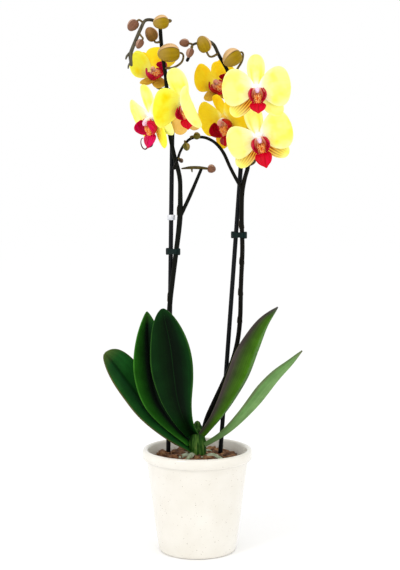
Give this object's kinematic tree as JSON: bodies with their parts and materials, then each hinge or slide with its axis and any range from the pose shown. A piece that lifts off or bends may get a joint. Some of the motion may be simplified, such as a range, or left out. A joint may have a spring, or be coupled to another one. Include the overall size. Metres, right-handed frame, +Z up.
{
  "type": "potted orchid",
  "caption": "Yellow moth orchid with red lips in a plain round pot, its flower spikes clipped to thin stakes over a fan of thick leaves.",
  "frame": {"origin": "centre of the pot's flat underside", "axes": "+Z up; the blooms look towards -Y; +X to the right of someone who faces the blooms"},
  "size_m": [0.2268, 0.1336, 0.606],
  "materials": {
    "pot_glaze": "smooth off-white glaze",
    "bark": "rough dry bark chips",
    "root_green": "dull grey-green root skin",
    "leaf_green": "waxy dark green leaf",
    "stem_green": "very dark olive stem",
    "petal_yellow": "soft pale yellow petal",
    "lip_red": "velvety crimson lip",
    "column_white": "waxy pinkish white",
    "bud_olive": "olive bud with a peach flush",
    "bud_brown": "pink-brown young bud",
    "stake_black": "near-black coated rod",
    "clip_green": "dark green plastic",
    "band_clear": "cloudy clear plastic"
  },
  "bodies": {
    "root": {"pot": "pot_glaze", "bark_mix": "bark", "crown_and_roots": "root_green", "leaf_left_low": "leaf_green", "leaf_left_middle": "leaf_green", "leaf_left_high": "leaf_green", "leaf_right_low": "leaf_green", "leaf_right_high": "leaf_green", "spike_left": "stem_green", "spike_right": "stem_green", "stake_left": "stake_black", "stake_right": "stake_black", "clip_left": "clip_green", "clip_right": "clip_green", "stake_band": "band_clear", "bloom_left_top_tepals": "petal_yellow", "bloom_left_top_column": "column_white", "bloom_left_top_lip": "lip_red", "bloom_left_middle_tepals": "petal_yellow", "bloom_left_middle_column": "column_white", "bloom_left_middle_lip": "lip_red", "bloom_left_low_tepals": "petal_yellow", "bloom_left_low_column": "column_white", "bloom_left_low_lip": "lip_red", "bloom_right_top_tepals": "petal_yellow", "bloom_right_top_column": "column_white", "bloom_right_top_lip": "lip_red", "bloom_right_middle_tepals": "petal_yellow", "bloom_right_middle_column": "column_white", "bloom_right_middle_lip": "lip_red", "bloom_right_front_high_tepals": "petal_yellow", "bloom_right_front_high_column": "column_white", "bloom_right_front_high_lip": "lip_red", "bloom_right_front_low_tepals": "petal_yellow", "bloom_right_front_low_column": "column_white", "bloom_right_front_low_lip": "lip_red", "bud_left_tip": "bud_olive", "bud_left_big": "bud_olive", "bud_left_inner": "bud_brown", "bud_left_outer": "bud_brown", "bud_left_small": "bud_brown", "bud_left_side": "bud_brown", "bud_right_tip": "bud_olive", "bud_right_big": "bud_olive", "bud_right_outer": "bud_brown", "bud_right_small": "bud_brown", "bud_arc_top": "bud_olive", "bud_arc_middle": "bud_olive", "bud_arc_low": "bud_brown"}
  },
  "joints": []
}
